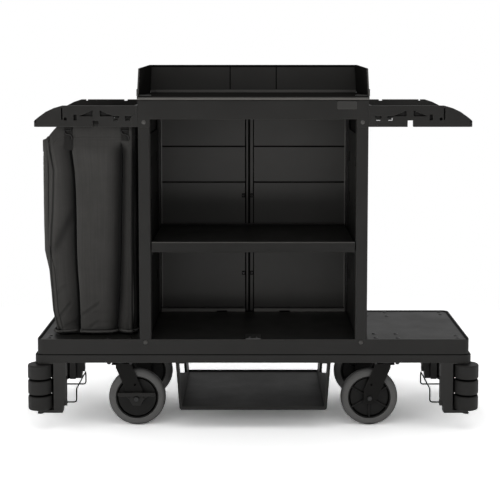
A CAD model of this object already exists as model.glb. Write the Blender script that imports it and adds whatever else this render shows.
"""Looks of the housekeeping cart: finish, laundry bag, small details, light and camera."""

import math

import bpy
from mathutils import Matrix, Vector, noise


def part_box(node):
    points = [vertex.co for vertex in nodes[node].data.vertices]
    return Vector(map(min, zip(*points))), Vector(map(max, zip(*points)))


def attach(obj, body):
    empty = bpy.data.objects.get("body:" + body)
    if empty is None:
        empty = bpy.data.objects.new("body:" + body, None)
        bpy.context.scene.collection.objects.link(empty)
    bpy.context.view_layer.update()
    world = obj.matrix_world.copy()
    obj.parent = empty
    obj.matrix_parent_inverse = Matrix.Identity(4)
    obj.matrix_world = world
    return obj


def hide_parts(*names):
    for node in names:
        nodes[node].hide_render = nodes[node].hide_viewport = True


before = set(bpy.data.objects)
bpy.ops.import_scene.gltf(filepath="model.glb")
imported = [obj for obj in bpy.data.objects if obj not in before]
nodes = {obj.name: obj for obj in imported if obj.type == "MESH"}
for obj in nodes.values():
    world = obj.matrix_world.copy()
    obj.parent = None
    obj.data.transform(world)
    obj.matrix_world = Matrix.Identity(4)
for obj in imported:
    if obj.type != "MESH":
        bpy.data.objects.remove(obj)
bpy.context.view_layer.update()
MM = 0.001
BEYOND = 2.0    # metres: past the cart on every side, where a strip has no end of its own


# ---------------------------------------------------------------- small helpers

def smooth(t):
    """An S-curve from nought at t = 0 to one at t = 1."""
    t = min(1.0, max(0.0, t))
    return t * t * (3 - 2 * t)


def lerp(table, z):
    """A value from a table of (z, value) rows, in rising z."""
    if z <= table[0][0]:
        return table[0][1]
    for (z0, v0), (z1, v1) in zip(table, table[1:]):
        if z <= z1:
            return v0 + (v1 - v0) * (z - z0) / (z1 - z0)
    return table[-1][1]


def link(name, data):
    """A new object in the scene that holds a mesh, lamp or camera."""
    obj = bpy.data.objects.new(name, data)
    bpy.context.scene.collection.objects.link(obj)
    return obj


def mesh_object(name, verts, faces, mat):
    """A smooth-shaded mesh of points in metres."""
    mesh = bpy.data.meshes.new(name)
    mesh.from_pydata([tuple(v) for v in verts], [], faces)
    mesh.validate()
    mesh.materials.append(mat)
    for p in mesh.polygons:
        p.use_smooth = True
    return link(name, mesh)


# ---------------------------------------------------------------- materials

class Tree:
    """A short way to build node trees."""

    def __init__(self, tree):
        self.tree = tree
        tree.nodes.clear()

    def add(self, kind, inputs=None, **props):
        node = self.tree.nodes.new(kind)
        for key, value in props.items():
            setattr(node, key, value)
        for key, value in (inputs or {}).items():
            if isinstance(value, bpy.types.NodeSocket):
                self.tree.links.new(value, node.inputs[key])
            else:
                node.inputs[key].default_value = value
        return node


def grey(level, warm=0.0):
    """A near-grey colour of a given linear level; warm shifts it a little towards red."""
    return (level * (1 + warm), level, level * (1 - 1.6 * warm), 1)


def tone_ramp(t, fac, low, high):
    """A colour that goes from low to high over the middle of a noise's range."""
    node = t.add("ShaderNodeValToRGB", {"Fac": fac})
    for element, place, colour in zip(node.color_ramp.elements, (0.3, 0.7), (low, high)):
        element.position, element.color = place, colour
    return node.outputs["Color"]


def noise_value(t, place, scale, detail, rough=0.5):
    """A noise of 0 to 1 at a place; scale is in cells a metre, or a unit of UV."""
    return t.add("ShaderNodeTexNoise", {"Vector": place, "Scale": scale, "Detail": detail,
                                        "Roughness": rough}).outputs["Fac"]


def remap(t, value, low, high, to_low=0.0, to_high=1.0):
    """The value carried from low..high to to_low..to_high, and held at the ends."""
    return t.add("ShaderNodeMapRange", {"Value": value, "From Min": low, "From Max": high,
                                        "To Min": to_low, "To Max": to_high}).outputs["Result"]


def math_node(t, operation, *values):
    return t.add("ShaderNodeMath", dict(enumerate(values)), operation=operation).outputs[0]


def mix_colour(t, factor, first, second):
    return t.add("ShaderNodeMix", {"Factor": factor, "A": first, "B": second}, data_type="RGBA").outputs[2]


def bump(t, height, strength, distance):
    return t.add("ShaderNodeBump", {"Height": height, "Strength": strength,
                                    "Distance": distance}).outputs["Normal"]


def new_tree(owner):
    """The empty node tree of a material or world."""
    owner.use_nodes = True
    return Tree(owner.node_tree)


def finish_material(t, inputs):
    shader = t.add("ShaderNodeBsdfPrincipled", inputs)
    t.add("ShaderNodeOutputMaterial", {"Surface": shader.outputs["BSDF"]})


STRIP_SOFT = 0.0006    # metres: half the width over which a strip fades


def band_mask(t, place, axis, low, high):
    """One where the coordinate lies between low and high, in metres, and nought elsewhere."""
    value = t.add("ShaderNodeSeparateXYZ", {0: place}).outputs[axis]
    up = remap(t, value, low - STRIP_SOFT, low + STRIP_SOFT)
    down = remap(t, value, high - STRIP_SOFT, high + STRIP_SOFT, 1.0, 0.0)
    return math_node(t, "MULTIPLY", up, down)


def joined(t, masks, operation):
    """All masks in one: MULTIPLY keeps where all hold, and MAXIMUM where any holds."""
    total = masks[0]
    for m in masks[1:]:
        total = math_node(t, operation, total, m)
    return total


def zones(t, place, strips):
    """One inside any of the strips; each strip is a list of (axis, low, high) that all hold on it."""
    return joined(t, [joined(t, [band_mask(t, place, *side) for side in strip], "MULTIPLY")
                      for strip in strips], "MAXIMUM")


def crevices(t, reach, closed, open_):
    """One deep in gaps and inner corners, where dirt gathers, and nought in the open."""
    shut = t.add("ShaderNodeAmbientOcclusion", {"Distance": reach}, samples=6)
    return remap(t, shut.outputs["AO"], closed, open_, 1.0, 0.0)


WEAR_RADIUS, WEAR_REACH = 0.0022, 0.006


def edges(t):
    """One along the outer edges, where handling wears the skin, and nought on the faces."""
    rounded = t.add("ShaderNodeBevel", {"Radius": WEAR_RADIUS}, samples=4)
    turn = t.add("ShaderNodeVectorMath", {0: rounded.outputs["Normal"], 1: t.add(
        "ShaderNodeNewGeometry").outputs["Normal"]}, operation="DOT_PRODUCT")
    near = remap(t, turn.outputs["Value"], 0.99, 0.86)
    outer = t.add("ShaderNodeAmbientOcclusion", {"Distance": WEAR_REACH}, samples=4)
    return math_node(t, "MULTIPLY", near, remap(t, outer.outputs["AO"], 0.8, 0.97, 0.0, 0.8))


def moulded(name, level, warm=0.035, rough=(0.3, 0.42), grain=1400, relief=0.12, specular=0.5,
            strips=(), pale=(), reach=0.012, seal=0.001):
    """Moulded plastic or rubber: a fine pebbled skin, cloudy roughness and a little tone variation.

    Inside strips it is matt and as dark as seal, and inside pale it is rubbed bright. Both are lists
    of strips, as zones takes them."""
    mat = bpy.data.materials.new(name)
    t = new_tree(mat)
    place = t.add("ShaderNodeTexCoord").outputs["Object"]
    cloud = noise_value(t, place, 7, 5, 0.6)
    speck = noise_value(t, place, grain, 2)
    scuff = noise_value(t, place, 55, 8, 0.75)
    tone = tone_ramp(t, cloud, grey(level * 0.93, warm), grey(level * 1.07, warm))
    tone = mix_colour(t, remap(t, scuff, 0.6, 0.8, 0.0, 0.16), tone, grey(level * 1.9, warm))
    dull = crevices(t, reach, 0.3, 0.75)
    tone = mix_colour(t, edges(t), tone, grey(level * 2.4 + 0.02, warm))
    tone = mix_colour(t, dull, tone, grey(level * 0.08))
    if strips:
        seals = zones(t, place, strips)
        tone = mix_colour(t, seals, tone, grey(seal, warm))
        dull = joined(t, [dull, seals], "MAXIMUM")
    if pale:
        tone = mix_colour(t, zones(t, place, pale), tone, grey(level * 2.2 + 0.02, warm))
    gloss = remap(t, cloud, 0.3, 0.7, *rough)
    gloss = t.add("ShaderNodeMix", {"Factor": dull, "A": gloss, "B": 1.0}).outputs[0]
    finish_material(t, {"Base Color": tone, "Roughness": gloss, "Specular IOR Level": specular,
                        "Normal": bump(t, speck, relief, 0.0004)})
    return mat


DRAWN_LINES = (60, 60, 840)
THREADS = 190         # waves of the weave in each unit of UV
STREAKS = (260, 5, 1)


def metal(name, level, rough):
    """Plated steel with fine drawn lines across z."""
    mat = bpy.data.materials.new(name)
    t = new_tree(mat)
    place = t.add("ShaderNodeTexCoord").outputs["Object"]
    stretch = t.add("ShaderNodeMapping", {"Vector": place, "Scale": DRAWN_LINES})
    lines = noise_value(t, stretch.outputs["Vector"], 6, 6, 0.6)
    spots = noise_value(t, place, 130, 5)
    finish_material(t, {"Base Color": tone_ramp(t, spots, grey(level * 0.8), grey(level * 1.1)),
                        "Metallic": 1.0, "Roughness": remap(t, lines, 0.0, 1.0, rough - 0.08, rough + 0.12),
                        "Normal": bump(t, lines, 0.06, 0.0003)})
    return mat


def cloth(name, level, shaded=False):
    """Coated woven polyester: the weave runs along the mesh's UV map, which is in metres.

    A shaded cloth's colour is scaled by the mesh's "tone" attribute."""
    warm = 0.03
    mat = bpy.data.materials.new(name)
    t = new_tree(mat)
    place = t.add("ShaderNodeTexCoord").outputs
    threads = [t.add("ShaderNodeTexWave", {"Vector": place["UV"], "Scale": THREADS, "Distortion": 0.4,
                                           "Detail": 1}, bands_direction=way).outputs["Fac"] for way in "XY"]
    weave = math_node(t, "MULTIPLY", *threads)
    cloud = noise_value(t, place["Object"], 11, 6, 0.62)
    fine = noise_value(t, place["Object"], 60, 6, 0.6)
    tone = tone_ramp(t, cloud, grey(level * 0.86, warm), grey(level * 1.12, warm))
    tone = mix_colour(t, remap(t, weave, 0.0, 1.0, 0.35, 0.0), tone, grey(level * 0.55, warm))
    if shaded:
        shade = t.add("ShaderNodeAttribute", attribute_name="tone").outputs["Fac"]
        tone = t.add("ShaderNodeVectorMath", {0: tone, "Scale": shade}, operation="SCALE").outputs[0]
    along = t.add("ShaderNodeMapping", {"Vector": place["UV"], "Scale": STREAKS}).outputs["Vector"]
    streak = noise_value(t, along, 1, 3)
    tone = mix_colour(t, remap(t, streak, 0.35, 0.65, 0.0, 0.3), tone, grey(level * 0.5, warm))
    tone = mix_colour(t, crevices(t, 0.03, 0.25, 0.85), tone, grey(level * 0.18, warm))
    height = math_node(t, "MULTIPLY_ADD", weave, 0.35, fine)
    finish_material(t, {"Base Color": tone, "Roughness": 0.8, "Specular IOR Level": 0.1,
                        "Sheen Weight": 0.04, "Sheen Roughness": 0.5, "Normal": bump(t, height, 0.35, 0.0009)})
    return mat


# ---------------------------------------------------------------- finishes, with the places they follow

def node_low(name, axis):
    """The node's lowest coordinate on an axis, in metres."""
    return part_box(name)[0][axis]


def node_high(name, axis):
    """The node's highest coordinate on an axis, in metres."""
    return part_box(name)[1][axis]


def about(axis, place, half):
    """The strip's side that lies within half of place."""
    return (axis, place - half, place + half)


X, Y, Z = 0, 1, 2
FRAME_MAT = moulded("frame_plastic", 0.0152, specular=0.3)
HEADER_MAT = moulded("header_plastic", 0.0148, specular=0.3, seal=0.006,
                     strips=[[(Z, node_high("front_header", Z) - 0.0022, BEYOND)]])

# The shelf's lip is rubbed pale along its top front edge
shelf_front = node_low("middle_shelf", Y)
SHELF_MAT = moulded("shelf_plastic", 0.0135, specular=0.2, pale=[
    [(Z, node_high("middle_shelf", Z) - 0.0035, BEYOND), (Y, shelf_front - 0.01, shelf_front + 0.005)]])

# Dark lines: the rim at the decks' ends and back, and the ledge along the top of the skirt's band
deck_top = node_high("platform", Z)
deck_edge = node_high("platform", X) - 0.021
band_top = node_low("platform", Z) + 0.027
rim_top = (Z, deck_top - 0.0012, BEYOND)
rim_ends = (Y, -0.262, BEYOND)
RIM_STRIPS = [[rim_top, (X, deck_edge, deck_edge + 0.009), rim_ends],
              [rim_top, (X, -deck_edge - 0.009, -deck_edge), rim_ends],
              [rim_top, (Y, node_high("platform", Y) - 0.03, BEYOND)],
              [(Z, band_top - 0.0004, band_top + 0.0026)]]
PLATFORM_MAT = moulded("platform_plastic", 0.0158, specular=0.3, strips=RIM_STRIPS)
DECK_MAT = moulded("deck_plastic", 0.0116, strips=RIM_STRIPS)

# The top is dull above a pale rounded edge
top_face = node_high("top_deck", Z)
EDGE_TOP, EDGE_FOOT = top_face - 0.0045, top_face - 0.0125
TOP_MAT = moulded("top_plastic", 0.026, specular=0.0, rough=(0.5, 0.6), seal=0.0145,
                  strips=[[(Z, EDGE_TOP, BEYOND)]], pale=[[(Z, EDGE_FOOT, EDGE_TOP)]])
TRAY_MAT = moulded("tray_plastic", 0.013, specular=0.32, rough=(0.4, 0.52))

# The side walls' recesses: the rounded one at the top and the slots for the shelf clips
WALL_IN, POCKET_DEEP = 0.3575, 0.0062
POCKET_HALF_Y = 0.2
pockets = [[(X, WALL_IN + 0.0005, WALL_IN + POCKET_DEEP)], [(X, -WALL_IN - POCKET_DEEP + 0.0005, -WALL_IN)]]
SIDE_MAT = moulded("side_plastic", 0.0152, specular=0.3,
                   strips=[strip + [about(Y, 0, POCKET_HALF_Y)] for strip in pockets])

# The back: its grooves, the pockets round the clips' bolts, the bright outer edges and foot ledge
GROOVE_Z = (0.814, 0.950)
CLIP_Z = (0.465, 0.763)
CLIP_X = (-0.037, -0.005)
GAP_X = ((-0.0345, -0.0262), (-0.0195, -0.0115), (-0.0008, 0.0042))
BACK = {"rough": (0.34, 0.46), "specular": 0.4}
panel_edge = -node_low("left_back_panel", X) - 0.0045
clip_spots = [[about(X, x, 0.006), about(Z, z, 0.008)] for x in CLIP_X for z in CLIP_Z]
PANEL_MAT = moulded("panel_plastic", 0.037, strips=[[about(Z, z, 0.003)] for z in GROOVE_Z] + clip_spots,
                    pale=[[(X, panel_edge, BEYOND)], [(X, -BEYOND, -panel_edge)],
                          [(Z, deck_top + 0.001, deck_top + 0.0115)]], **BACK)
CHANNEL_MAT = moulded("channel_plastic", 0.037, strips=[[(X, *gap)] for gap in GAP_X] + clip_spots, **BACK)

# The organizer: seams in its back wall, a dark top edge and a bright ledge at its foot
org_foot = node_low("organizer", Z)
SEAM_X = 0.087
seams = [[about(X, side * SEAM_X, 0.0022), (Z, org_foot + 0.012, BEYOND)] for side in (-1, 1)]
ORGANIZER_MAT = moulded("organizer_plastic", 0.035, specular=0.35,
                        strips=seams + [[(Z, node_high("organizer", Z) - 0.0085, BEYOND)]],
                        pale=[[(Z, org_foot - 0.001, org_foot + 0.01), (Y, 0.0, BEYOND)]])
ORGANIZER_SIDE_MAT = moulded("organizer_side", 0.009, specular=0.0)

# The walls of the recesses in the racks' arms
RECESS_Y = 0.2446
rack_under = node_low("left_rack", Z)
RACK_MAT = moulded("rack_plastic", 0.0152, specular=0.3, strips=[
    [about(Y, side * RECESS_Y, 0.0034), (Z, rack_under + 0.014, BEYOND)] for side in (-1, 1)])
BRACKET_MAT = moulded("bracket_plastic", 0.02, rough=(0.4, 0.5), specular=0.4)

# The rollers' ends are dark where they meet
roller_gaps = [(node_high(f"front_left_{low}_roller", Z) + node_low(f"front_left_{high}_roller", Z)) / 2
               for low, high in (("lower", "middle"), ("middle", "upper"))]
RUBBER_MAT = moulded("roller_rubber", 0.0144, rough=(0.42, 0.55), grain=900, specular=0.4,
                     strips=[[about(Z, z, 0.0032)] for z in roller_gaps])
TYRE_MAT = moulded("tyre_rubber", 0.092, warm=0.015, rough=(0.45, 0.6), grain=700, relief=0.2,
                   specular=0.35)
CORE_MAT = moulded("wheel_plastic", 0.009, rough=(0.4, 0.55), specular=0.3, reach=0.02)
FORK_MAT = moulded("fork_coat", 0.009, rough=(0.45, 0.55), grain=1900, specular=0.12)
BADGE_MAT = moulded("bare_plate", 0.026, rough=(0.3, 0.4), relief=0.05)
BLACK_BOLT_MAT = moulded("black_bolt", 0.006, rough=(0.2, 0.28), relief=0.03, specular=0.9)
ZINC_MAT = metal("zinc", 0.3, rough=0.36)
DARK_BOLT_MAT = metal("dark_bolt", 0.1, rough=0.34)
BOLT_MAT = moulded("bolt_cap", 0.05, rough=(0.3, 0.4), relief=0.04)
BLACK_WIRE_MAT = moulded("dark_wire", 0.006, rough=(0.4, 0.5), specular=0.3)
CLOTH_MAT = cloth("bag_cloth", 0.037, shaded=True)
PIPING_MAT = cloth("bag_piping", 0.055)
WEBBING_MAT = cloth("bag_webbing", 0.017)

# The first ending that a node's name has gives its finish
FINISHES = [
    ("_tyre", TYRE_MAT), ("_roller", RUBBER_MAT), ("_wheel_core", CORE_MAT), ("_fork", FORK_MAT),
    ("_end_wire", BLACK_WIRE_MAT), ("frame_bolts", BOLT_MAT), ("_bumper_bracket", BRACKET_MAT),
    ("latch_strike", ZINC_MAT), ("caster_bolts", BLACK_BOLT_MAT), ("bumper_pins", BLACK_BOLT_MAT),
    ("back_clips", BLACK_BOLT_MAT), ("_axle", DARK_BOLT_MAT), ("caster_plates", DARK_BOLT_MAT),
    ("_back_panel", PANEL_MAT), ("back_channel", CHANNEL_MAT), ("platform", PLATFORM_MAT),
    ("middle_shelf", SHELF_MAT), ("_side_panel", SIDE_MAT), ("_header", HEADER_MAT), ("_rack", RACK_MAT),
    ("top_deck", TOP_MAT), ("under_tray", TRAY_MAT), ("organizer", ORGANIZER_MAT),
    ("badge_plate", BADGE_MAT), ("", FRAME_MAT)]


# ---------------------------------------------------------------- CAD nodes: rounded edges and finish

EDGE_RADIUS = 0.0009


def finish_node(name):
    """Give a CAD node its finish, merge its flat faces and round its edges; its mesh stays as it is."""
    obj = nodes[name]
    obj.data.materials.clear()
    obj.data.materials.append(next(mat for ending, mat in FINISHES if name.endswith(ending)))
    for p in obj.data.polygons:
        p.material_index = 0
        p.use_smooth = True
    weld = obj.modifiers.new("weld", "WELD")
    weld.merge_threshold = 0.00002
    plane = obj.modifiers.new("plane", "DECIMATE")
    plane.decimate_type = "DISSOLVE"
    plane.angle_limit = math.radians(0.6)
    edge = obj.modifiers.new("edges", "BEVEL")
    edge.width = EDGE_RADIUS
    edge.segments = 2
    edge.limit_method = "ANGLE"
    edge.angle_limit = math.radians(35)
    edge.use_clamp_overlap = False
    even = obj.modifiers.new("even", "WEIGHTED_NORMAL")
    even.mode = "FACE_AREA"
    even.weight = 80
    even.keep_sharp = True


def second_finish(name, mat, chosen):
    """Give the faces that chosen picks another finish."""
    mesh = nodes[name].data
    mesh.materials.append(mat)
    for face in mesh.polygons:
        if chosen(face.normal, face.center):
            face.material_index = 1


for node_name in nodes:
    finish_node(node_name)

# The end decks shine more than the skirt, and the organizer's side walls are dull on the inside
DECK_INNER_X, ORGANIZER_WALL_X = 0.38, 0.36
second_finish("platform", DECK_MAT, lambda normal, centre: normal.z > 0.8 and abs(centre.x) > DECK_INNER_X)
second_finish("organizer", ORGANIZER_SIDE_MAT, lambda normal, centre: (
    abs(normal.x) > 0.8 and normal.x * centre.x < 0 and abs(centre.x) > ORGANIZER_WALL_X))


# ---------------------------------------------------------------- laundry bag

BAG_MAT_SLOT = "bag_cloth"
bag_floor = node_low("laundry_bag", Z)
peg_top = node_high("bag_loops", Z) - 0.004
HEM_Z = rack_under + 0.0075
STRAP_X = (-0.4385, -0.6325)
STRAP_FOOT = (1001, 968)    # the straps' lower ends, in millimetres
STRAP_W = 0.028
STRAP_THICK = 0.0018
CLOTH_THICK = 0.0022
FRONT_COLS, RIGHT_COLS, BACK_COLS, LEFT_COLS, CORNER_COLS = 168, 40, 120, 56, 9
BODY_ROWS, HEM_ROWS = 112, 36
BODY_SHARE = 0.885      # the share of the bag's height under the hem's closer rows
FLOOR_RINGS = ((0.35, 1.5), (0.62, 1.2), (0.85, 0.6), (0.96, 0.2))    # share of the outline, and lift
FLOOR_LIFT = 1.8
SEAM_ROW, WEAVE_ROW = 16, 60    # the rows of the foot piping, and of the weave's way round
BAG_MIDDLE_X = -557
CORNER_R = 21
BACK_SHARE = 0.8        # how deep the back's pleats are against the front's
FRONT_TONE_Y = -0.12    # the cloth in front of this has the front's tones
TUBE_SIDES = 10

# Rows of (height, value) in millimetres: the outline's left and right edges and its half depth
LEFT_EDGE = [(312, -689), (322, -693), (348, -697), (403, -704), (476, -707), (548, -711), (590, -719),
             (619, -724), (760, -725), (900, -724), (1050, -723)]
RIGHT_EDGE = [(312, -411), (348, -410), (476, -408), (690, -406.5), (900, -406.5), (1050, -408)]
HALF_DEPTH = [(318, 163), (450, 182), (600, 198), (758, 210), (1050, 210.5)]
# Lines of the front: the left facet's crease, the two folds and the groove beside the corner piping
CREASE = [(322, -672), (348, -683), (403, -696), (476, -697), (548, -701), (619, -701), (690, -697),
          (760, -691), (829, -688), (898, -686), (967, -697), (1050, -703)]
FOLD_1 = [(322, -608.5), (403, -607.5), (476, -608.5), (548, -612), (619, -613), (760, -612.5), (829, -613.5),
          (898, -617), (967, -625), (1050, -630)]
FOLD_2 = [(322, -481), (348, -479), (403, -474), (476, -469.5), (548, -465.5), (619, -462.5), (690, -460),
          (760, -457.5), (898, -454), (1050, -452.5)]
GROOVE = [(322, -421), (403, -420), (548, -417), (690, -415.5), (898, -412.5), (1050, -411)]
# Small creases of the front: both ends as (x, z), how deep and how wide
CREASES = (((-680, 376), (-637, 430), 4.6, 5.0), ((-666, 341), (-609, 366), 3.8, 4.5),
           ((-606, 380), (-535, 430), 4.6, 6.0), ((-571, 344), (-543, 362), 3.8, 5.0),
           ((-543, 362), (-487, 359), 3.6, 5.0), ((-469, 355), (-452, 338), 4.0, 4.0),
           ((-473, 383), (-455, 352), 3.6, 4.0), ((-462, 419), (-448, 380), 2.8, 6.0),
           ((-668, 630), (-632, 716), 3.2, 14.0), ((-560, 398), (-500, 392), 2.4, 7.0),
           ((-690, 450), (-650, 490), 2.6, 9.0))


def dip(distance, width):
    """A smooth dip: one at its middle, nought away from it."""
    return math.exp(-(distance / width) ** 2)


def folds_at(z):
    """The places of the front's lines at a height: edge, crease, two folds and groove."""
    return [lerp(table, z) for table in (LEFT_EDGE, CREASE, FOLD_1, FOLD_2, GROOVE)]


def crease(x, z, a, b, deep, wide):
    """A soft crease along the line from a to b, fading at its ends."""
    ax, az = a
    bx, bz = b
    length = math.hypot(bx - ax, bz - az)
    ux, uz = (bx - ax) / length, (bz - az) / length
    along = (x - ax) * ux + (z - az) * uz
    off = -(x - ax) * uz + (z - az) * ux
    fade = smooth((along + 12) / 24) * smooth((length + 12 - along) / 24)
    return -deep * dip(off, wide) * fade


def pleats(x, z):
    """How far the front cloth stands out at x and height z, both in millimetres."""
    _, turn, f1, f2, groove = folds_at(z)
    hang = smooth((1006 - z) / 50)
    a1 = hang * (0.8 + 0.2 * math.cos((z - 760) / 70)) * smooth((z - 322) / 26)
    a2 = hang * (1 - 0.35 * smooth((470 - z) / 110))
    sharp = 0.35 + 0.65 * smooth((z - 850) / 90) + 0.3 * smooth((400 - z) / 60)
    deep = -7 * dip(x - turn, 3.4) * sharp
    deep += 2.4 * dip(x - turn - 12, 8.0)
    if x < turn:
        deep -= 0.8 * (turn - x) * smooth((z - 318) / 60)
    elif x < f1:
        t = (x - turn) / (f1 - turn)
        deep -= a1 * (4 * t + 24 * t * t) + 2 * hang * t
    elif x < f2:
        t = (x - f1) / (f2 - f1)
        rolled = 1 - smooth((x - f1) / 7.0)
        deep += 5.5 * math.sin(math.pi * t) * hang + 0.9 * math.sin(5.2 * t + 0.006 * z)
        deep -= 4.5 * rolled * hang
        deep -= a2 * 34 * min(1.0, max(0.0, (x - (f2 - 50)) / 50)) ** 3.2
    else:
        rise = smooth((x - f2) / 34)
        deep -= a2 * (34 * (1 - rise) + 4 * rise)
        deep -= 5 * smooth((x - groove + 6) / 8)
    deep -= 30 * a1 * dip(x - f1 + 1.2, 2.9) + 16 * a2 * dip(x - f2 - 0.5, 2.8)
    deep -= 15 * dip(x - groove, 3.2)
    for start, end, depth, wide in CREASES:
        # The cloth beside a crease swells a little
        beside = [(px - wide, pz + 1.2 * wide) for px, pz in (start, end)]
        deep += crease(x, z, start, end, depth, wide)
        deep -= 0.55 * crease(x, z, *beside, depth, wide)
    return deep


def cloth_tone(x, z):
    """How pale the front cloth is at x and height z: folds hold dirt, and ridges are rubbed."""
    left, turn, f1, f2, groove = folds_at(z)
    hang = smooth((1012 - z) / 60)
    across = [
        (left - 9, 1.7), (left + 4, 1.55), (turn - 5, 1.25), (turn - 1.5, 0.4), (turn + 1.5, 0.45),
        (turn + 6, 1.4), (turn + 18, 1.3), (f1 - 40, 0.95), (f1 - 14, 0.55), (f1 - 5, 0.34), (f1 - 3.2, 0.03),
        (f1 + 1.5, 0.03), (f1 + 3.5, 1.45), (f1 + 9, 1.25), (f1 + 22, 1.08), (f2 - 50, 1.05), (f2 - 24, 0.8),
        (f2 - 8, 0.4), (f2 - 2, 0.1), (f2 + 2, 0.12), (f2 + 8, 0.42), (f2 + 20, 0.8), (groove - 8, 0.75),
        (groove - 4, 0.1), (groove + 3, 0.06), (groove + 6, 0.3)]
    # A soft crease runs down across the left panel
    off = ((x + 625) * 139 - (z - 754) * 66) / 154
    soft = dip(off, 13) * smooth((z - 590) / 50) * smooth((790 - z) / 40) * (x < f1)
    return (1 + (lerp(across, x) - 1) * hang) * (1 - 0.4 * soft)


def side_folds(y, z, phase):
    """Hanging folds of the bag's two narrow sides, in millimetres."""
    hang = smooth((1010 - z) / 120) * (1 - 0.5 * smooth((420 - z) / 100))
    sway = 14 * math.sin(z / 130 + phase)
    broad = 5.5 * math.sin((y + sway) / 27 + phase)
    return hang * (broad + 3.0 * math.sin((y - sway) / 13.5 + 2 * phase)) - 3 * hang


def wrinkle(x, y, z):
    """Small unevenness all over the cloth, in millimetres."""
    p = Vector((x, y, z)) * MM
    broad = noise.noise(Vector((p.x * 13, p.y * 13, p.z * 5 + 3.1)))
    small = noise.noise(Vector((p.x * 42, p.y * 42, p.z * 22 + 9.7)))
    return 1.9 * broad + 0.55 * small


def hem_height(x, y):
    """The mouth's height round the bag: it sags at the free left end."""
    loose = smooth((-652 - x) / 72)
    middle = 1 - (y / 212) ** 2
    return HEM_Z / MM - loose * (53 + 10 * middle) - (1 - loose) * 5 * middle * smooth((x + 470) / 50)


def bag_columns():
    """Places round the bag: the side, the share of the way along it, and how far round its corner."""
    cols = []
    for side, count in (("front", FRONT_COLS), ("right", RIGHT_COLS), ("back", BACK_COLS), ("left", LEFT_COLS)):
        cols += [(side, i / count, None) for i in range(count)]
        cols += [(side, 1.0, (i + 0.5) / CORNER_COLS) for i in range(CORNER_COLS)]
    return cols


def pleat_place(t, z, x0, x1):
    """Columns crowd round the two folds: x at the share t of the way along the front."""
    _, turn, f1, f2, groove = folds_at(z)
    knots = [(0, x0), (0.06, turn - 3), (0.10, turn + 3), (0.15, turn + 16), (0.27, f1 - 12),
             (0.33, f1 - 3.5), (0.40, f1 + 1.2), (0.44, f1 + 6), (0.48, f1 + 14), (0.62, f2 - 34),
             (0.70, f2 - 5), (0.78, f2 + 5), (0.82, f2 + 16), (0.88, groove - 8), (0.94, groove - 1), (1, x1)]
    return lerp(knots, t)


def bag_point(col, z):
    """The cloth's outer surface at a column and height, in millimetres."""
    side, t, turn = col
    left, right, half = lerp(LEFT_EDGE, z), lerp(RIGHT_EDGE, z), lerp(HALF_DEPTH, z)
    r = CORNER_R + 5 * smooth((420 - z) / 90)
    corners = {"front": ((left + r, -half), (right - r, -half), (0, -1)),
               "right": ((right, -half + r), (right, half - r), (1, 0)),
               "back": ((right - r, half), (left + r, half), (0, 1)),
               "left": ((left, half - r), (left, -half + r), (-1, 0))}
    (x0, y0), (x1, y1), out = corners[side]
    if turn is None:
        x, y = x0 + (x1 - x0) * t, y0 + (y1 - y0) * t
        nx, ny = out
    else:
        a = math.atan2(out[1], out[0]) + turn * math.pi / 2
        cx, cy = x1 - out[0] * r, y1 - out[1] * r
        nx, ny = math.cos(a), math.sin(a)
        x, y = cx + r * nx, cy + r * ny
    if turn is None and side == "front":
        x = pleat_place(t, z, x0, x1)
        push = pleats(x, z)
    elif turn is None and side == "back":
        near = pleat_place(t, z, x1, x0)
        x = left + right - near
        push = BACK_SHARE * pleats(near, z)
    elif turn is None:
        push = side_folds(y, z, 0.4 if side == "left" else 2.1) * smooth(min(t, 1 - t) / 0.12)
    else:
        near = x if ny < 0 else left + right - x
        push = pleats(near, z) * smooth(abs(ny)) * (1 if ny < 0 else BACK_SHARE)
    push += wrinkle(x, y, z)
    # The rows of stitches under the hem, the hem's double cloth, and the seam above the floor
    drop = hem_height(x, y) - z
    above = z - bag_floor / MM
    for line, dent in ((43, 1.3), (52, 1.1), (74, 0.6), (90, 0.6)):
        push -= dent * dip(drop - line, 1.6)
    push += 0.9 * smooth((42 - drop) / 3) - 1.2 * dip(drop, 2.0)
    push -= 7 * smooth((8 - above) / 4) + 1.8 * dip(above - 16, 1.8)
    return Vector((x + nx * push, y + ny * push, z))


def ring_faces(n, a, b):
    """Faces between two rings of n points each; a and b are the rings' first points."""
    return [(a + k, a + (k + 1) % n, b + (k + 1) % n, b + k) for k in range(n)]


def weave_map(bag, row, n):
    """Lay the weave round the bag: u is the way round at one row, and v the height."""
    uv = bag.data.uv_layers.new(name="weave")
    run = [0.0]
    for k in range(1, n + 1):
        run.append(run[-1] + (row[k % n] - row[k - 1]).length * MM)
    for poly in bag.data.polygons:
        ks = [bag.data.loops[i].vertex_index % n for i in poly.loop_indices]
        wrap = max(ks) - min(ks) > n / 2
        for i in poly.loop_indices:
            index = bag.data.loops[i].vertex_index
            k = index % n
            u = run[n] if wrap and k == 0 else run[k]
            uv.data[i].uv = (u, bag.data.vertices[index].co.z)


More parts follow.
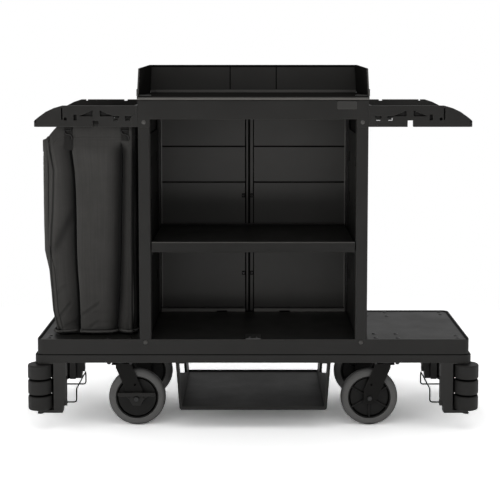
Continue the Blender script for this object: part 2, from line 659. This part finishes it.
def laundry_bag():
    """The bag's shell, lofted from its floor's middle up to the hem; gives its rows of points."""
    cols = bag_columns()
    base = bag_floor / MM
    levels = [i / BODY_ROWS * BODY_SHARE for i in range(BODY_ROWS + 1)]
    levels += [BODY_SHARE + i / HEM_ROWS * (1 - BODY_SHARE) for i in range(1, HEM_ROWS + 1)]
    rows = []
    for inset, lift in FLOOR_RINGS:
        ring = []
        for col in cols:
            p = bag_point(col, base)
            x = BAG_MIDDLE_X + (p.x - BAG_MIDDLE_X) * inset
            ring.append(Vector((x, p.y * inset, base + lift)))
        rows.append(ring)
    for v in levels:
        ring = []
        for col in cols:
            flat = bag_point(col, base + v * (HEM_Z / MM - base))
            top = hem_height(flat.x, flat.y)
            ring.append(bag_point(col, base + v * (top - base)))
        rows.append(ring)
    n = len(cols)
    verts = [p * MM for ring in rows for p in ring]
    faces = [face for i in range(len(rows) - 1) for face in ring_faces(n, i * n, (i + 1) * n)]
    middle = len(verts)
    verts.append(Vector((BAG_MIDDLE_X * MM, 0, (base + FLOOR_LIFT) * MM)))
    faces += [(middle, (k + 1) % n, k) for k in range(n)]
    bag = mesh_object("bag_shell", verts, faces, CLOTH_MAT)
    tones = [cloth_tone(v.x / MM, v.z / MM) if v.y < FRONT_TONE_Y else 1.0 for v in verts]
    shade = bag.data.attributes.new("tone", "FLOAT", "POINT")
    shade.data.foreach_set("value", tones)
    weave_map(bag, rows[WEAVE_ROW], n)
    thick = bag.modifiers.new("cloth", "SOLIDIFY")
    thick.thickness = CLOTH_THICK
    thick.offset = -1
    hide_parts("laundry_bag")
    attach(bag, "cart")
    return rows


def tube(name, path, radius, mat, closed=False):
    """A round tube along points in metres."""
    sides = TUBE_SIDES
    n = len(path)
    verts, faces = [], []
    for i, p in enumerate(path):
        before = path[(i - 1) % n] if closed or i else path[0]
        after = path[(i + 1) % n] if closed or i < n - 1 else path[-1]
        way = (after - before).normalized()
        u = way.cross(Vector((0.31, 0.17, 0.93) if abs(way.z) < 0.8 else (1, 0.2, 0))).normalized()
        v = way.cross(u)
        for k in range(sides):
            a = 2 * math.pi * k / sides
            verts.append(p + radius * (u * math.cos(a) + v * math.sin(a)))
    spans = n if closed else n - 1
    for i in range(spans):
        faces += ring_faces(sides, i * sides, (i + 1) % n * sides)
    if not closed:
        faces += [tuple(range(sides - 1, -1, -1)), tuple((n - 1) * sides + k for k in range(sides))]
    return mesh_object(name, verts, faces, mat)


def ribbon(name, path, width, thick, mat):
    """A flat strap: path gives its middle line, and each point's outward and sideways directions."""
    verts, faces = [], []
    profile = [(-0.5, 0.0), (-0.47, 0.5), (0.47, 0.5), (0.5, 0.0), (0.47, -0.5), (-0.47, -0.5)]
    for p, out, side in path:
        verts += [p + side * (a * width) + out * (b * thick) for a, b in profile]
    m = len(profile)
    for i in range(len(path) - 1):
        faces += ring_faces(m, i * m, (i + 1) * m)
    faces += [tuple(range(m - 1, -1, -1)), tuple((len(path) - 1) * m + k for k in range(m))]
    return mesh_object(name, verts, faces, mat)


# The plastic hook that closes each strap's ring, in metres from the ring's place
HOOK = [(-0.012, 0.0, -0.010), (-0.0125, 0.0012, -0.020), (-0.007, 0.002, -0.0265), (0.001, 0.0022, -0.0275),
        (0.008, 0.002, -0.030), (0.0125, 0.0014, -0.037), (0.012, 0.0002, -0.046)]


def strap_path(x, foot, sy):
    """Up the cloth from foot, over the peg and back to the arm; sy is the side, -1 at the front."""
    aside = Vector((1, 0, 0))
    path = []
    for k in range(18):
        z = foot + (HEM_Z / MM + 2 - foot) * k / 17
        stand = max(pleats(x / MM + dx, z) for dx in (-12, 0, 12)) if sy < 0 else 1.5
        y = sy * (lerp(HALF_DEPTH, z) + stand + 2.2)
        path.append((Vector((x, y * MM, z * MM)), Vector((0, sy, 0)), aside))
    y0 = path[-1][0].y
    rise = peg_top + 0.0012 - 0.006 - HEM_Z
    for k in range(1, 6):
        t = k / 5
        place = Vector((x, y0 - sy * 0.003 * smooth(t), HEM_Z + 0.002 + rise * t))
        path.append((place, Vector((0, sy, 0)), aside))
    p = path[-1][0]
    for k in range(1, 6):
        a = k / 5 * math.pi / 2
        path.append((Vector((x, p.y + sy * 0.004 * (1 - math.cos(a)), p.z + 0.004 * math.sin(a))),
                     Vector((0, -sy * math.cos(a), math.sin(a))), aside))
    path.append((Vector((x, sy * 0.2215, path[-1][0].z)), Vector((0, 0, 1)), aside))
    return path


def bag_straps():
    """Webbing sewn to the bag and over the pegs, with a ring and a plastic hook on each strap."""
    for row, sy in (("front", -1), ("rear", 1)):
        for i, x in enumerate(STRAP_X):
            strap = ribbon(f"bag_strap_{row}_{i + 1}", strap_path(x, STRAP_FOOT[i], sy), STRAP_W,
                           STRAP_THICK, WEBBING_MAT)
            y = sy * (lerp(HALF_DEPTH, 1036) + 3.9) * MM
            bar = [Vector((x + dx, y, rack_under - 0.0125)) for dx in (-0.0115, -0.006, 0, 0.006, 0.0115)]
            ring = tube(f"bag_ring_{row}_{i + 1}", bar, 0.0018, DARK_BOLT_MAT)
            bent = [Vector((x + dx, y + sy * dy, rack_under + dz)) for dx, dy, dz in HOOK]
            hook = tube(f"bag_hook_{row}_{i + 1}", bent, 0.0021, RUBBER_MAT)
            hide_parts("bag_loops")
            for piece, slot in ((strap, BAG_MAT_SLOT), (ring, "zinc_steel"), (hook, "roller_rubber")):
                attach(piece, "cart")


def bag_piping(rows):
    """The piping round the foot, the hem's roll and the piping down the front right corner."""
    lift = Vector((0, 0, bag_floor + 0.0098))
    foot = [Vector((p.x * 0.998, p.y * 0.996, 0)) * MM + lift for p in rows[SEAM_ROW][::3]]
    hem = [p * MM + Vector((0, 0, -0.0008)) for p in rows[-1][::2]]
    corner = FRONT_COLS + CORNER_COLS // 2
    seam = [rows[i][corner] * MM + Vector((0.0010, -0.0022, 0)) for i in range(6, len(rows) - 8, 2)]
    for name, path, radius, closed in (("bag_foot_piping", foot, 0.0048, True),
                                       ("bag_hem_roll", hem, 0.0019, True),
                                       ("bag_corner_piping", seam, 0.0028, False)):
        piece = tube(name, path, radius, PIPING_MAT, closed)
        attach(piece, "cart")


bag_piping(laundry_bag())
bag_straps()


# ---------------------------------------------------------------- floor, light and camera

def mix_shader(t, factor, first, second):
    return t.add("ShaderNodeMixShader", {"Fac": factor, 1: first, 2: second}).outputs[0]


def diffuse(t, level):
    return t.add("ShaderNodeBsdfDiffuse", {"Color": (level, level, level, 1)}).outputs[0]


def background(t, strength):
    return t.add("ShaderNodeBackground", {"Color": (1, 1, 1, 1), "Strength": strength}).outputs[0]


FLOOR_SIZE = 14.0               # metres from the middle to each side
FLOOR_SEEN, FLOOR_PLAIN = 2.0, 0.8    # its level for the camera, and for all other rays
FADE_START, FADE_END = 1.0, 2.3       # metres from the middle: the shadow's floor goes over to white


def floor_stage():
    """A floor that the camera sees white, with the cart's shadow, and other rays as plain pale grey."""
    size = FLOOR_SIZE
    corners = [(-size, -size, 0), (size, -size, 0), (size, size, 0), (-size, size, 0)]
    mat = bpy.data.materials.new("floor_white")
    t = new_tree(mat)
    ray = t.add("ShaderNodeLightPath").outputs
    white = t.add("ShaderNodeEmission", {"Color": (1, 1, 1, 1), "Strength": 1.0}).outputs[0]
    far = t.add("ShaderNodeVectorMath", {0: t.add("ShaderNodeTexCoord").outputs["Object"]},
                operation="LENGTH").outputs["Value"]
    away = t.add("ShaderNodeMapRange", {"Value": far, "From Min": FADE_START, "From Max": FADE_END},
                 interpolation_type="SMOOTHSTEP").outputs["Result"]
    near = mix_shader(t, away, diffuse(t, FLOOR_SEEN), white)
    t.add("ShaderNodeOutputMaterial", {
        "Surface": mix_shader(t, ray["Is Camera Ray"], diffuse(t, FLOOR_PLAIN), near)})
    floor = mesh_object("floor", corners, [(0, 1, 2, 3)], mat)


SOFT_LIGHT = 0.32               # the world's level for the object
DIM_FRONT = 0.05                # its levels in reflections
BEHIND, ASIDE = 0.32, 0.66


def studio_world():
    """Soft light all round; reflections see a dim front and a brighter back and sides."""
    world = bpy.data.worlds.new("studio")
    bpy.context.scene.world = world
    t = new_tree(world)
    ray = t.add("ShaderNodeLightPath").outputs
    way = t.add("ShaderNodeSeparateXYZ", {0: t.add("ShaderNodeTexCoord").outputs["Generated"]}).outputs
    glow = remap(t, math_node(t, "ABSOLUTE", way["X"]), 0.1, 0.6, BEHIND, ASIDE)
    behind = remap(t, way["Y"], -0.2, 0.5, DIM_FRONT, glow)
    shiny = mix_shader(t, ray["Is Glossy Ray"], background(t, SOFT_LIGHT), background(t, behind))
    seen = math_node(t, "MAXIMUM", ray["Is Camera Ray"], ray["Is Transmission Ray"])
    t.add("ShaderNodeOutputWorld", {"Surface": mix_shader(t, seen, shiny, background(t, 1.0))})


def area_light(name, place, target, size, power):
    """A soft lamp aimed at target; only the top ones show in reflections."""
    data = bpy.data.lights.new(name, "AREA")
    data.shape = "RECTANGLE"
    data.size, data.size_y = size
    data.energy = power
    obj = link(name, data)
    obj.location = place
    obj.visible_camera = False
    obj.visible_glossy = name.startswith("top")
    obj.rotation_mode = "QUATERNION"
    obj.rotation_quaternion = (Vector(target) - Vector(place)).to_track_quat("-Z", "Y")


# Name, place, target, size and power in watts
LIGHTS = [("top_softbox", (0, 0.2, 3.4), (0, 0, 0.4), (4.2, 2.8), 14),
          ("top_front", (0, -1.6, 3.2), (0, 0, 0.5), (4.2, 1.4), 8),
          ("front_left", (-2.4, -3.0, 0.9), (0, 0, 0.7), (1.6, 1.6), 30),
          ("front_right", (2.4, -3.0, 0.9), (0, 0, 0.7), (1.6, 1.6), 7),
          ("front_middle", (0, -4.2, 1.5), (0, 0, 0.8), (3.6, 1.2), 18),
          ("floor_bounce", (0, -2.5, 0.03), (0, -2.4, 1.0), (5.0, 1.8), 190),
          ("rear_left", (-2.4, 3.0, 0.9), (0, 0, 0.7), (1.6, 1.6), 14),
          ("rear_right", (2.4, 3.0, 0.9), (0, 0, 0.7), (1.6, 1.6), 14),
          ("rear_middle", (0, 4.2, 1.5), (0, 0, 0.8), (3.6, 1.2), 30),
          ("rear_bounce", (0, 2.5, 0.03), (0, 2.4, 1.0), (5.0, 1.8), 140),
          ("side_left", (-3.4, -0.9, 1.0), (0, 0, 0.7), (2.0, 2.0), 26),
          ("side_right", (3.4, -0.9, 1.0), (0, 0, 0.7), (2.0, 2.0), 24)]


# The photograph's viewpoint
CAM_LENS = 88.161
CAM_SHIFT = (-0.0069, -0.155)
CAM_PLACE = (0.0009, -4.3984, 1.2761)
CAM_PITCH = 5.249    # degrees below level


def camera():
    data = bpy.data.cameras.new("camera")
    data.sensor_width = 36
    data.lens = CAM_LENS
    data.shift_x, data.shift_y = CAM_SHIFT
    data.clip_end = 100
    obj = link("camera", data)
    obj.location = CAM_PLACE
    obj.rotation_euler = (math.radians(90 - CAM_PITCH), 0, 0)
    bpy.context.scene.camera = obj


floor_stage()
studio_world()
for lamp in LIGHTS:
    area_light(*lamp)
camera()
bpy.context.scene.view_settings.view_transform = "Standard"
